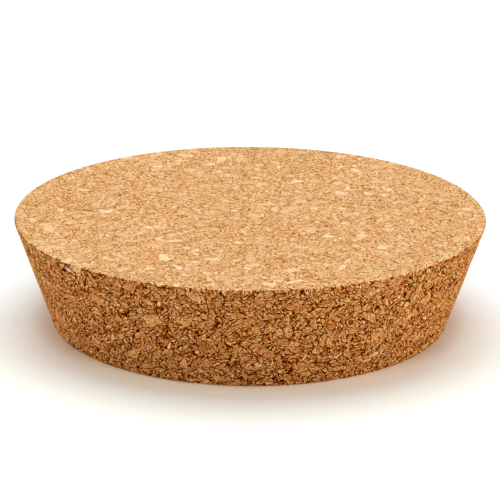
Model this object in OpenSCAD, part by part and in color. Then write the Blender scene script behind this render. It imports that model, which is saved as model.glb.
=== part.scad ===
// Tapered stopper of agglomerated cork, ground from one pressed block.
// It stands on its narrow face with +Z up, and the origin is the centre of that face.

/* [Stopper] */
// Diameter across the rim, at its widest
top_d = 130; // [114:1:200]
// Diameter at which the side meets the plane of the narrow face
bottom_d = 110; // [50:1:120]
// Height from the narrow face to the wide face
height = 30; // [15:1:60]

/* [Edges] */
// Radius left on the rim of the wide face by sanding
rim_r = 0.5; // [0.2:0.1:1.5]
// Radius left on the edge of the narrow face by sanding
foot_r = 0.7; // [0.2:0.1:3]

/* [Chip in the rim] */
// Direction of the chip, round the axis from +X
chip_angle = -134; // [-180:0.5:180]
// Radius of the hollow that the lost granule left
chip_r = 2.5; // [2.1:0.1:6]
// How far outside the side the centre of the hollow lies
chip_out = 1.6; // [0.5:0.1:2]
// How far below the wide face the centre of the hollow lies
chip_drop = 0.4; // [0:0.1:2]

/* [Pit beside the chip] */
// Direction of the pit, round the axis from +X
pit_angle = -139; // [-180:0.5:180]
// Radius of the pit
pit_r = 0.5; // [0.4:0.1:1.2]
// How far below the wide face the centre of the pit lies, on the side
pit_drop = 2.9; // [1.5:0.1:10]

/* [Hidden] */
$fn = 180;

cork = "burlywood";

// Steps in the arc of each rounded edge
edge_steps = 8;

// Half section, as [radius, height]: the side rises from foot and touches the rounded rim,
// so it leans outwards from the vertical by the angle taper.
foot = [bottom_d / 2, 0];
rim_centre = [top_d / 2 - rim_r, height - rim_r];
rise = rim_centre - foot;
taper = atan2(rise.x, rise.y) + asin(rim_r / norm(rise));

// The rounding of the foot touches both the narrow face and the side
foot_centre = [foot.x - foot_r * tan((90 - taper) / 2), foot_r];

// Points of a rounded edge, from one direction of its radius to another
function rounded_edge(centre, r, from, to) = [
    for (i = [0 : edge_steps])
        let (a = from + (to - from) * i / edge_steps)
            centre + r * [cos(a), sin(a)]
];

// Radius of the ground side at a depth below the wide face
function side_radius(drop) = foot.x + (height - drop) * tan(taper);

// Body as it comes off the grinder, before anything is knocked out of it
module ground_body() {
    rotate_extrude()
        polygon(concat(
            [[0, 0]],
            rounded_edge(foot_centre, foot_r, -90, -taper),
            rounded_edge(rim_centre, rim_r, -taper, 90),
            [[0, height]]
        ));
}

// Round hollow where a granule has come away, centred at a depth below the wide face
// and on the side, or this far outside it
module granule_hollow(angle, drop, r, out = 0) {
    rotate(angle)
        translate([side_radius(drop) + out, 0, height - drop])
            sphere(r);
}

module stopper() {
    color(cork)
        difference() {
            ground_body();
            granule_hollow(chip_angle, chip_drop, chip_r, chip_out);
            granule_hollow(pit_angle, pit_drop, pit_r);
        }
}

stopper();
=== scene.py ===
from math import atan2, asin, cos, hypot, pi, radians, sin, tan

import bpy
import numpy as np
from mathutils import Matrix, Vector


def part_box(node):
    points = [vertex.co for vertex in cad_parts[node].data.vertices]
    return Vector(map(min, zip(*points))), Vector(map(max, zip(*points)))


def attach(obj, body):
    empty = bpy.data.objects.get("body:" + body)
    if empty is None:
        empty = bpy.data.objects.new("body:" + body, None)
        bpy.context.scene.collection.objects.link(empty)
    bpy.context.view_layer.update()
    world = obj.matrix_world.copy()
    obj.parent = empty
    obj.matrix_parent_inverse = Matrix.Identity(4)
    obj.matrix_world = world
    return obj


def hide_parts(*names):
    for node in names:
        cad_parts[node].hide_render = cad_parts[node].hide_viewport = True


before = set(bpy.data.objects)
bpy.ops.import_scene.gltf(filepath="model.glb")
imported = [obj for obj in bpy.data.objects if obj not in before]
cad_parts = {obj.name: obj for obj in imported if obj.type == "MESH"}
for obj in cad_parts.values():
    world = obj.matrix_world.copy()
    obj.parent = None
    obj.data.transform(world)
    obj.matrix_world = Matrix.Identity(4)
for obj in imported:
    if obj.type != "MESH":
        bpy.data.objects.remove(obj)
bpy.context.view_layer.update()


# Camera: a long lens about 0.67 m away, looking down on the stopper by about 19 degrees and
# tilted by a third of a degree, so that the stopper fills the width of a square frame.

picture_width = 500
focal_length = 2417.5
look_down = 0.3249
tilt = 0.0063

camera_data = bpy.data.cameras.new("camera")
camera_data.sensor_width = 36
camera_data.lens = camera_data.sensor_width * focal_length / picture_width
camera = bpy.data.objects.new("camera", camera_data)
camera.matrix_world = (
    Matrix.Translation((0, -0.6370, 0.2334))
    @ Matrix.Rotation(pi / 2 - look_down, 4, "X")
    @ Matrix.Rotation(tilt, 4, "Z")
)
bpy.context.scene.collection.objects.link(camera)
bpy.context.scene.camera = camera
bpy.context.scene.view_settings.view_transform = "Standard"


# Studio: a white paper floor in a pale room, one wide soft lamp overhead and a weaker one at
# each side. The paper shows white and keeps the stopper's soft shadow.

class Wire:
    """One output of a node. Sums on wires add the Math nodes that work them out."""

    def __init__(self, tree, socket=None):
        self.tree = tree
        self.socket = socket

    def node(self, kind, settings, inputs, output=0):
        """Adds a node, with its settings first and then its values and links."""
        made = self.tree.nodes.new(kind)
        for name, value in settings.items():
            if name == "stops":
                stops = made.color_ramp.elements
                while len(stops) < len(value):
                    stops.new(0)
                for stop, (place, colour) in zip(stops, value):
                    stop.position = place
                    stop.color = (*colour, 1)
            else:
                setattr(made, name, value)
        for name, value in inputs.items():
            if isinstance(value, Wire):
                self.tree.links.new(value.socket, made.inputs[name])
            else:
                made.inputs[name].default_value = value
        return Wire(self.tree, made.outputs[output] if made.outputs else None)

    def other(self, output):
        """Another output of the same node."""
        return Wire(self.tree, self.socket.node.outputs[output])

    def math(self, operation, first, second=0.0):
        return self.node("ShaderNodeMath", {"operation": operation}, {0: first, 1: second})

    def __add__(self, other):
        return self.math("ADD", self, other)

    def __sub__(self, other):
        return self.math("SUBTRACT", self, other)

    def __rsub__(self, other):
        return self.math("SUBTRACT", other, self)

    def __mul__(self, other):
        return self.math("MULTIPLY", self, other)

    def __lt__(self, other):
        return self.math("LESS_THAN", self, other)

    def __gt__(self, other):
        return self.math("GREATER_THAN", self, other)

    __radd__ = __add__
    __rmul__ = __mul__

    def least(self, other):
        return self.math("MINIMUM", self, other)

    def most(self, other):
        return self.math("MAXIMUM", self, other)

    def ease(self, low, high):
        """0 below low and 1 above high, with a smooth step between them."""
        smooth = {"interpolation_type": "SMOOTHSTEP"}
        return self.node("ShaderNodeMapRange", smooth, {0: self, 1: low, 2: high})

    def vector(self, operation, other):
        return self.node("ShaderNodeVectorMath", {"operation": operation}, {0: self, 1: other})

    def blend(self, other, share):
        """This number where share is 0, and the other one where it is 1."""
        return self.node("ShaderNodeMix", {}, {0: share, 2: self, 3: other})

    def tint(self, other, share, mode="MIX"):
        """This colour where share is 0, and the other one where it is 1."""
        colours = {"data_type": "RGBA", "blend_type": mode}
        return self.node("ShaderNodeMix", colours, {0: share, 6: self, 7: other}, 2)


def seen_directly(tree):
    """1 for what the camera sees, also in a shine or through glass, and 0 for light."""
    camera_ray = Wire(tree).node("ShaderNodeLightPath", {}, {}, "Is Camera Ray")
    shine = camera_ray.other("Is Glossy Ray")
    return camera_ray.most(shine).most(camera_ray.other("Is Transmission Ray"))


room_light = 0.51
world = bpy.data.worlds.new("pale_room")
world.use_nodes = True
world.node_tree.nodes.clear()
bpy.context.scene.world = world
direct = seen_directly(world.node_tree)
room = direct.node(
    "ShaderNodeBackground",
    {},
    {"Color": (1, 1, 1, 1), "Strength": direct * (1 - room_light) + room_light},
)
room.node("ShaderNodeOutputWorld", {}, {"Surface": room})

paper_bounce = 0.9

# The paper's colour as the camera sees it. Round the foot it carries painted light and shade: painted
# light in front, painted shade at the sides, a painted warm bounce from the cork beside it, and
# painted tints in its shadow in front and behind. None of this changes the light that the paper gives
# the cork.
seen_white = (1.02, 1.06, 1.02, 1)
painted_bounce_beside_cork = (0.99, 0.97, 0.88, 1)
painted_shade_at_foot_sides = (0.86, 0.78, 0.71, 1)
painted_light_in_front_of_foot = (1.33, 1.31, 1.21, 1)
shadow_in_front = (0.96, 0.93, 0.89, 1)
shadow_behind = (1.03, 1.07, 1.13, 1)

bpy.ops.object.select_all(action="DESELECT")
bpy.ops.mesh.primitive_plane_add(size=6, location=(0, 0, 0))
floor = bpy.context.object
floor.name = "paper_floor"
paper = bpy.data.materials.new("white_paper")
paper.use_nodes = True
paper.node_tree.nodes.clear()
direct = seen_directly(paper.node_tree)
bounced = direct.node(
    "ShaderNodeCombineColor", {}, {0: paper_bounce, 1: paper_bounce, 2: paper_bounce}
)
spot = direct.node("ShaderNodeTexCoord", {}, {}, "Object")
away = spot.node("ShaderNodeVectorMath", {"operation": "LENGTH"}, {0: spot}, "Value")
# Beside the cork the paper gets a painted warm bounce of light from the cork.
near_cork = 1 - away.ease(0.052, 0.070)
white = bounced.tint(seen_white, direct).tint(painted_bounce_beside_cork, direct * near_cork)
at_foot = direct * (1 - away.ease(0.055, 0.063))
forward = spot.node("ShaderNodeSeparateXYZ", {}, {0: spot}, 1) * -1
in_front = forward.ease(0.025, 0.050)
# Painted shade on the paper at the sides of the foot, and painted light on it in front of the foot.
white = white.tint(painted_shade_at_foot_sides, at_foot * (1 - in_front), "MULTIPLY")
white = white.tint(painted_light_in_front_of_foot, at_foot * in_front, "MULTIPLY")
in_shadow = direct * (1 - away.ease(0.064, 0.090))
white = white.tint(shadow_in_front, in_shadow * forward.ease(0.012, 0.040), "MULTIPLY")
white = white.tint(shadow_behind, in_shadow * (1 - forward.ease(-0.012, 0.012)), "MULTIPLY")
matt = white.node("ShaderNodeBsdfDiffuse", {}, {"Color": white})
plain_white = white.node("ShaderNodeEmission", {}, {"Color": (1, 1, 1, 1), "Strength": 1.0})
far_off = direct * away.ease(0.20, 0.60)
paper_surface = matt.node("ShaderNodeMixShader", {}, {0: far_off, 1: matt, 2: plain_white})
paper_surface.node("ShaderNodeOutputMaterial", {}, {"Surface": paper_surface})
floor.data.materials.append(paper)


def soft_lamp(name, place, turn, width, depth, watts):
    """A flat square lamp, which shines down before it is turned."""
    lamp_data = bpy.data.lights.new(name, "AREA")
    lamp_data.shape = "RECTANGLE"
    lamp_data.size = width
    lamp_data.size_y = depth
    lamp_data.energy = watts
    lamp = bpy.data.objects.new(name, lamp_data)
    lamp.location = place
    lamp.rotation_euler = turn
    bpy.context.scene.collection.objects.link(lamp)


soft_lamp("overhead_lamp", (0, 0.3, 1.3), (0, 0, 0), 1.5, 1.5, 13.6)
soft_lamp("left_lamp", (-1.0, -0.1, 0.16), (0, radians(-85), 0), 0.3, 1.0, 2.5)
soft_lamp("right_lamp", (1.0, -0.3, 0.16), (0, radians(85), radians(-17)), 0.3, 1.0, 5.1)


# Stopper: one piece of agglomerated cork. Granules of cork bark are pressed and glued into a
# block, the stopper is ground out of it as one taper, and its two faces are sanded flat.

mm = 0.001
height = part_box("stopper")[1].z
rim_radius = 65 * mm
foot_radius = 55 * mm
rim_round = 0.5 * mm
foot_round = 0.7 * mm

# Half section, as radius and height, worked out as a maker would draw it
rim_centre = (rim_radius - rim_round, height - rim_round)
rise = (rim_centre[0] - foot_radius, rim_centre[1])
taper = atan2(rise[0], rise[1]) + asin(rim_round / hypot(*rise))
foot_centre = (foot_radius - foot_round * tan((pi / 2 - taper) / 2), foot_round)

ring_points = 1400
edge_steps = 4
side_rows = 104


def rounded_edge(centre, radius, start, end):
    """Radius and height of each ring along a rounded edge."""
    turns = [start + (end - start) * step / edge_steps for step in range(edge_steps + 1)]
    return [(centre[0] + radius * cos(turn), centre[1] + radius * sin(turn)) for turn in turns]


def pick(test):
    """Selects the edges whose two ends pass the test, and nothing else."""
    bpy.ops.mesh.select_all(action="DESELECT")
    bpy.ops.object.mode_set(mode="OBJECT")
    mesh = bpy.context.object.data
    places = np.empty(len(mesh.vertices) * 3)
    mesh.vertices.foreach_get("co", places)
    ends = np.empty(len(mesh.edges) * 2, int)
    mesh.edges.foreach_get("vertices", ends)
    first, second = places.reshape(-1, 3)[ends.reshape(-1, 2)].transpose(1, 0, 2)
    mesh.edges.foreach_set("select", test(first, second))
    bpy.ops.object.mode_set(mode="EDIT")


foot_edge = rounded_edge(foot_centre, foot_round, -pi / 2, -taper)
rim_edge = rounded_edge(rim_centre, rim_round, -taper, pi / 2)
rings = foot_edge + rim_edge

bpy.ops.object.select_all(action="DESELECT")
bpy.ops.mesh.primitive_circle_add(vertices=ring_points, radius=rings[0][0], location=(0, 0, 0))
stopper = bpy.context.object
stopper.name = "cork_stopper"
bpy.ops.object.mode_set(mode="EDIT")
bpy.ops.mesh.select_mode(type="EDGE")
bpy.ops.mesh.select_all(action="SELECT")
for (radius, level), (next_radius, next_level) in zip(rings, rings[1:]):
    move = {"value": (0, 0, next_level - level)}
    bpy.ops.mesh.extrude_edges_move(TRANSFORM_OT_translate=move)
    growth = next_radius / radius
    bpy.ops.transform.resize(value=(growth, growth, 1), center_override=(0, 0, 0))

side_low, side_high = foot_edge[-1][1], rim_edge[0][1]
hair = 0.01 * mm
pick(lambda a, b: np.isclose(np.abs(a[:, 2] - b[:, 2]), side_high - side_low, atol=hair))
bpy.ops.mesh.subdivide(number_cuts=side_rows - 1)
for level in (0, height):
    pick(lambda a, b: np.isclose(a[:, 2], level, atol=hair) & np.isclose(b[:, 2], level, atol=hair))
    bpy.ops.mesh.fill_grid(span=ring_points // 4)
bpy.ops.mesh.select_all(action="SELECT")
bpy.ops.mesh.normals_make_consistent(inside=False)
bpy.ops.object.mode_set(mode="OBJECT")


def shaken(place, amount, size):
    """Each place moved up to this amount by noise of this size, in millimetres."""
    noise = place.node(
        "ShaderNodeTexNoise", {}, {"Vector": place, "Scale": 1 / size, "Detail": 1.0}, "Color"
    )
    shift = noise.vector("SUBTRACT", (0.5, 0.5, 0.5)).vector("MULTIPLY", (2 * amount,) * 3)
    return place.vector("ADD", shift)


def size_of(arrow):
    return arrow.node("ShaderNodeVectorMath", {"operation": "LENGTH"}, {0: arrow}, "Value")


def broken(place, turn, size):
    """Breaks the block into lumps of this size, turned by an angle about each axis.
    Gives each lump's own three numbers, and how far the place is from the lump's edge."""
    turned = place.node(
        "ShaderNodeVectorRotate", {"rotation_type": "EULER_XYZ"}, {"Vector": place, "Rotation": turn}
    )
    cells = turned.vector("DIVIDE", size)
    lump = cells.node("ShaderNodeTexVoronoi", {}, {"Vector": cells, "Scale": 1.0}, "Color")
    seed = lump.other("Position")
    second = {"feature": "F2"}
    neighbour = cells.node("ShaderNodeTexVoronoi", second, {"Vector": cells, "Scale": 1.0}, "Position")
    apart = neighbour.vector("SUBTRACT", seed)
    to_middle = neighbour.vector("ADD", seed).vector("DIVIDE", (2, 2, 2)).vector("SUBTRACT", cells)
    dot = {"operation": "DOT_PRODUCT"}
    across = apart.node("ShaderNodeVectorMath", dot, {0: to_middle, 1: apart}, "Value")
    return lump, across.math("DIVIDE", across, size_of(apart.vector("DIVIDE", size)))


def parts(colour):
    """The three numbers that a colour or a place holds."""
    first = colour.node("ShaderNodeSeparateXYZ", {}, {0: colour})
    return first, first.other(1), first.other(2)


# Sizes of the cork's parts along their own axes, in millimetres
flake_beds = (9.0,) * 3
large_flake = (5.2, 2.3, 3.4)
flake = (3.3, 1.05, 2.2)
sliver = (2.4, 0.46, 1.6)
fibre_bundle = (1.7, 0.20, 0.7)
gap_patch = 0.7

# Large flakes lie every way within a full turn, and slivers fan out by this much about them
full_turn = (2 * pi,) * 3
sliver_fan = (1.4,) * 3


def granules(place, flatness):
    """What the surface cuts through at each place, in millimetres, where flatness is 0 on the
    ground side and 1 on the sanded faces. Gives the granule's own numbers, 1 where the cork is
    broken small, how far the place is from the granule's edge, how open the gap there is, and
    how light the fibres along the granule are."""
    bent = shaken(shaken(place, 0.6, 3.5), 0.24, 1.4)
    beds = bent.vector("DIVIDE", flake_beds)
    bed = place.node("ShaderNodeTexVoronoi", {}, {"Vector": beds, "Scale": 1.0}, "Color")
    large, large_edge = broken(bent, bed.vector("MULTIPLY", full_turn), large_flake)
    medium, medium_edge = broken(bent, large.vector("MULTIPLY", full_turn), flake)
    skew = medium.vector("SUBTRACT", (0.5, 0.5, 0.5)).vector("MULTIPLY", sliver_fan)
    grain = large.vector("MULTIPLY", full_turn).vector("ADD", skew)
    small, small_edge = broken(bent, grain, sliver)
    along = place.node(
        "ShaderNodeVectorRotate", {"rotation_type": "EULER_XYZ"}, {"Vector": bent, "Rotation": grain}
    )
    drawn_out = along.vector("DIVIDE", fibre_bundle)
    fibre = along.node(
        "ShaderNodeTexNoise", {}, {"Vector": drawn_out, "Scale": 1.0, "Detail": 1.0}, 0
    ).ease(0.35, 0.59)
    open_gaps = place.node(
        "ShaderNodeTexNoise", {}, {"Vector": place, "Scale": 1 / gap_patch, "Detail": 0.0}, 0
    ).ease(0.35, 0.65)

    split = parts(large)[0] > flatness * 0.12 + 0.15
    granule = large.tint(medium, split)
    edge = large_edge.blend(large_edge.least(medium_edge), split)
    crumbled = split * (parts(medium)[0] > flatness * 0.05 + 0.60)
    granule = granule.tint(small, crumbled)
    edge = edge.blend(edge.least(small_edge), crumbled)
    # Along each gap a raised lip: in the relief it stands up, and in the colour it is a painted
    # highlight.
    raised_lip_and_painted_highlight = edge.ease(0.12, 0.20) - edge.ease(0.24, 0.40)
    gap = (1 - edge.ease(0.02, flatness * 0.06 + 0.15) - raised_lip_and_painted_highlight * 0.3) * (open_gaps * 0.8 + 0.2)
    return granule, crumbled, edge, gap, fibre


def sanded(level, fade, within=0.0):
    """1 at the heights of the two sanded faces, fading to 0 this far from them."""
    from_middle = level.math("ABSOLUTE", level - height / 2)
    return from_middle.ease(height / 2 - fade, height / 2 - within)


def stretched(arrow, length):
    """An arrow of this length, pointing the same way."""
    unit = arrow.node("ShaderNodeVectorMath", {"operation": "NORMALIZE"}, {0: arrow})
    return unit.node("ShaderNodeVectorMath", {"operation": "SCALE"}, {0: unit, "Scale": length})


def outside_rim(angle, out, drop):
    """A place this far outside the ground side, and this far below the wide face."""
    radius = foot_radius + (height - drop) * tan(taper) + out
    return (radius * cos(radians(angle)), radius * sin(radians(angle)), height - drop)


# Two granules broken out of the rim: a wide shallow chip, and a small deep pit beside it.
chip_centre = outside_rim(-134, 1.6 * mm, 0.4 * mm)
chip_radius = 2.5 * mm
pit_centre = outside_rim(-139, 0, 2.9 * mm)
pit_radius = 0.5 * mm

# Relief: the ground side is rough, with gaps between granules, and the sanded faces are smoother.
# Each place is pressed in towards an upright core, and "cut" keeps where it was before, so that
# the cork's colours fall on the same granules.
core_radius = 50 * mm
core_depth = 6 * mm
gap_depth, granule_step = 0.30, 0.12
sanded_off = 0.88
relief = bpy.data.node_groups.new("granule_relief", "GeometryNodeTree")
relief.interface.new_socket("Mesh", in_out="INPUT", socket_type="NodeSocketGeometry")
relief.interface.new_socket("Mesh", in_out="OUTPUT", socket_type="NodeSocketGeometry")
smooth_mesh = Wire(relief).node("NodeGroupInput", {}, {}, "Mesh")
where = smooth_mesh.node("GeometryNodeInputPosition", {}, {})
chipped_place = where
for centre, radius in ((chip_centre, chip_radius), (pit_centre, pit_radius)):
    from_centre = chipped_place.vector("SUBTRACT", centre)
    pushed_out = stretched(from_centre, size_of(from_centre).most(radius))
    chipped_place = pushed_out.vector("ADD", centre)
chipped = chipped_place.node(
    "GeometryNodeSetPosition", {}, {"Geometry": smooth_mesh, "Position": chipped_place}
)
marked = where.node(
    "GeometryNodeStoreNamedAttribute",
    {"data_type": "FLOAT_VECTOR", "domain": "POINT"},
    {"Geometry": chipped, "Name": "cut", "Value": where},
)
where_level = parts(where)[2]
flatness = sanded(where_level, 2.0 * mm)
granule, _, _, gap, _ = granules(where.vector("DIVIDE", (mm,) * 3), flatness)
outwards = where.vector("MULTIPLY", (1, 1, 0))
in_core = stretched(outwards, size_of(outwards).least(core_radius))
core_level = where_level.most(core_depth).least(height - core_depth)
core_upright = core_level.node("ShaderNodeCombineXYZ", {}, {0: 0.0, 1: 0.0, 2: core_level})
inwards = in_core.vector("ADD", core_upright).vector("SUBTRACT", where)
depth = (gap * gap_depth + parts(granule)[1] * granule_step).most(0.0)
depth = depth * (1 - flatness * sanded_off)
torn = marked.node(
    "GeometryNodeSetPosition", {}, {"Geometry": marked, "Offset": stretched(inwards, depth * mm)}
)
torn.node("NodeGroupOutput", {}, {"Mesh": torn})
granule_relief = stopper.modifiers.new("granule_relief", "NODES")
granule_relief.node_group = relief
bpy.ops.object.modifier_apply(modifier=granule_relief.name)

most_triangles = 196_000
thin_out = stopper.modifiers.new("fewer_faces", "DECIMATE")
thin_out.ratio = most_triangles / (2 * len(stopper.data.polygons))
bpy.ops.object.modifier_apply(modifier=thin_out.name)
places = np.empty(len(stopper.data.vertices) * 3)
stopper.data.vertices.foreach_get("co", places)
places[2::3] = places[2::3].clip(0, height)
stopper.data.vertices.foreach_set("co", places)
bpy.ops.object.shade_smooth()

# Map: the two faces lie side by side, with the front and back of the side below them. A zoom
# says how many times its real size each of them is drawn.
map_size = 251 * mm
gutter = 3 * mm
top_zoom, under_zoom, side_zoom = 1.08, 0.92, 1.27
face_skin = 0.15 * mm
mesh = stopper.data
corner_vertex = np.empty(len(mesh.loops), int)
mesh.loops.foreach_get("vertex_index", corner_vertex)
first_corner, corners = np.empty((2, len(mesh.polygons)), int)
mesh.polygons.foreach_get("loop_start", first_corner)
mesh.polygons.foreach_get("loop_total", corners)
cut = np.empty(len(mesh.vertices) * 3)
mesh.attributes["cut"].data.foreach_get("vector", cut)
cut = cut.reshape(-1, 3)[corner_vertex]
middle = np.add.reduceat(cut, first_corner) / corners[:, None]
middle_y, middle_z = np.repeat(middle, corners, axis=0).T[1:]
x, y, z = cut.T
towards = np.where(middle_y < 0, -1, 1)
turn = np.arctan2(-x * towards, y * towards) * side_zoom
along = map_size / 2 + turn * (rim_radius + foot_radius) / 2
up = gutter + z * side_zoom + (middle_y > 0) * (gutter + height * side_zoom)
for on_face, radius, zoom, left, flip in (
    (middle_z > height - face_skin, rim_radius, top_zoom, gutter, 1),
    (middle_z < face_skin, foot_radius, under_zoom, 2 * (gutter + rim_radius * top_zoom), -1),
):
    along = np.where(on_face, left + (radius + x * flip) * zoom, along)
    up = np.where(on_face, map_size - gutter - (radius - y) * zoom, up)
finish_map = mesh.uv_layers.new(name="OFBake")
finish_map.uv.foreach_set("vector", (np.stack([along, up], axis=1) / map_size).ravel())

# Cork: each granule has its own tone and tint, with dark gaps and glue round it and lighter
# fibres along it. The dark in the gaps is partly dark glue and partly painted shade in the
# crevices, and a painted highlight runs along each gap's lip. The sanded faces are paler than the
# ground side.
cork = bpy.data.materials.new("agglomerated_cork")
cork.use_nodes = True
cork.node_tree.nodes.clear()
start = Wire(cork.node_tree)
place = start.node("ShaderNodeAttribute", {"attribute_name": "cut"}, {}, "Vector")
place_mm = place.vector("DIVIDE", (mm,) * 3)
flatness = sanded(parts(place)[2], 0.30 * mm, 0.05 * mm)
granule, crumbled, edge, gap, fibre = granules(place_mm, flatness)
own_tone, own_tint = parts(granule)[1:]

side_hues = (
    (0.00, (0.060, 0.006, 0.000)),
    (0.15, (0.200, 0.033, 0.001)),
    (0.30, (0.335, 0.080, 0.004)),
    (0.45, (0.475, 0.156, 0.026)),
    (0.60, (0.612, 0.254, 0.072)),
    (0.75, (0.740, 0.382, 0.152)),
    (0.90, (0.865, 0.530, 0.258)),
    (1.00, (0.960, 0.710, 0.430)),
)
top_hues = (
    (0.00, (0.200, 0.050, 0.006)),
    (0.15, (0.410, 0.165, 0.036)),
    (0.30, (0.600, 0.272, 0.080)),
    (0.45, (0.718, 0.396, 0.168)),
    (0.60, (0.790, 0.490, 0.250)),
    (0.75, (0.862, 0.566, 0.322)),
    (0.90, (0.925, 0.640, 0.398)),
    (1.00, (0.960, 0.720, 0.488)),
)
glue_and_shade_tint = (1.00, 0.81, 0.44, 1)
painted_light_in_chip = (1.00, 0.65, 0.30, 1)
cream = (1.00, 0.86, 0.62, 1)
pale_cork = (0.95, 0.70, 0.42, 1)
painted_pit_shade = (0.030, 0.006, 0.001, 1)
tones = (
    (0.00, (0.00,) * 3),
    (0.025, (0.02,) * 3),
    (0.045, (0.42,) * 3),
    (0.50, (0.53,) * 3),
    (0.86, (0.60,) * 3),
    (0.89, (0.84,) * 3),
    (1.00, (1.00,) * 3),
)
tone = own_tone.node("ShaderNodeValToRGB", {"stops": tones}, {0: own_tone})
tone = (tone - 0.55) * (crumbled * 0.26 + flatness * 0.24 + 0.32)

# The sanded faces hold no very dark granules
tone = tone.most(flatness * 0.88 - 1.0)
streak = (fibre - 0.65) * (crumbled * 0.30 - flatness * 0.04 + 0.50)
# The gaps darken the colour, partly as dark glue and partly as painted shade in the crevices; their
# lips lighten it as a painted highlight.
shade = tone + streak - gap * (0.94 - flatness * 0.39) + crumbled * 0.16 + flatness * 0.03 + 0.59
side_colour = shade.node("ShaderNodeValToRGB", {"stops": side_hues}, {0: shade})
top_colour = shade.node("ShaderNodeValToRGB", {"stops": top_hues}, {0: shade})
tints = (
    (0.00, (1.00, 0.84, 0.70)),
    (0.12, (1.00, 0.94, 0.88)),
    (0.50, (1.00, 1.00, 1.00)),
    (0.88, (0.98, 1.03, 1.00)),
    (1.00, (0.98, 1.05, 0.92)),
)
tint = own_tint.node("ShaderNodeValToRGB", {"stops": tints}, {0: own_tint})

# Breaks in the rim: the chip is pale inside, painted light on its shaded hollow, with a cream
# edge, the pit is painted almost black, painted shade in its hollow, and a small pale flake lies
# between them.
from_chip = size_of(place.vector("SUBTRACT", chip_centre))
in_chip = 1 - from_chip.ease(chip_radius + 0.05 * mm, chip_radius + 0.15 * mm)
chip_edge = from_chip.ease(chip_radius, chip_radius + 0.05 * mm)
chip_edge = chip_edge - from_chip.ease(chip_radius + 0.25 * mm, chip_radius + 0.40 * mm)
pale_centre = outside_rim(-137.0, 0, 2.2 * mm)
from_pale = place.vector("SUBTRACT", pale_centre).vector("MULTIPLY", (0.7, 0.7, 1.6))
pale = 1 - size_of(from_pale).ease(0.6 * mm, 1.0 * mm)
in_pit = 1 - size_of(place.vector("SUBTRACT", pit_centre)).ease(pit_radius, pit_radius + 0.1 * mm)
colour = side_colour.tint(top_colour, flatness.most(in_chip)).tint(tint, 1.0, "MULTIPLY")
# Darker, browner colour near each granule's edge: partly the glue's colour and partly painted shade in
# the crevices.
glue_and_painted_shade = (1 - edge.ease(0.0, 0.50)) * (0.9 - flatness * 0.55)
colour = colour.tint(glue_and_shade_tint, glue_and_painted_shade, "MULTIPLY")
# Painted light inside the chip's shaded hollow.
colour = colour.tint(painted_light_in_chip, in_chip * (fibre * 0.3 + 0.5))
colour = colour.tint(cream, chip_edge * flatness)
colour = colour.tint(pale_cork, pale * (fibre * 0.5 + 0.5))
# Painted shade: the pit's hollow is coloured almost black.
colour = colour.tint(painted_pit_shade, in_pit)
raised = (fibre * 0.5 - gap) * (1 - flatness * 0.6)
bump = raised.node("ShaderNodeBump", {}, {"Height": raised, "Strength": 0.5, "Distance": 0.3 * mm})
finish = colour.node(
    "ShaderNodeBsdfPrincipled",
    {},
    {
        "Base Color": colour,
        "Roughness": own_tint * 0.2 + 0.75,
        "Normal": bump,
        "Specular IOR Level": 0.0,
    },
)
finish.node("ShaderNodeOutputMaterial", {}, {"Surface": finish})
stopper.data.materials.append(cork)

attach(stopper, "root")
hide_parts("stopper")
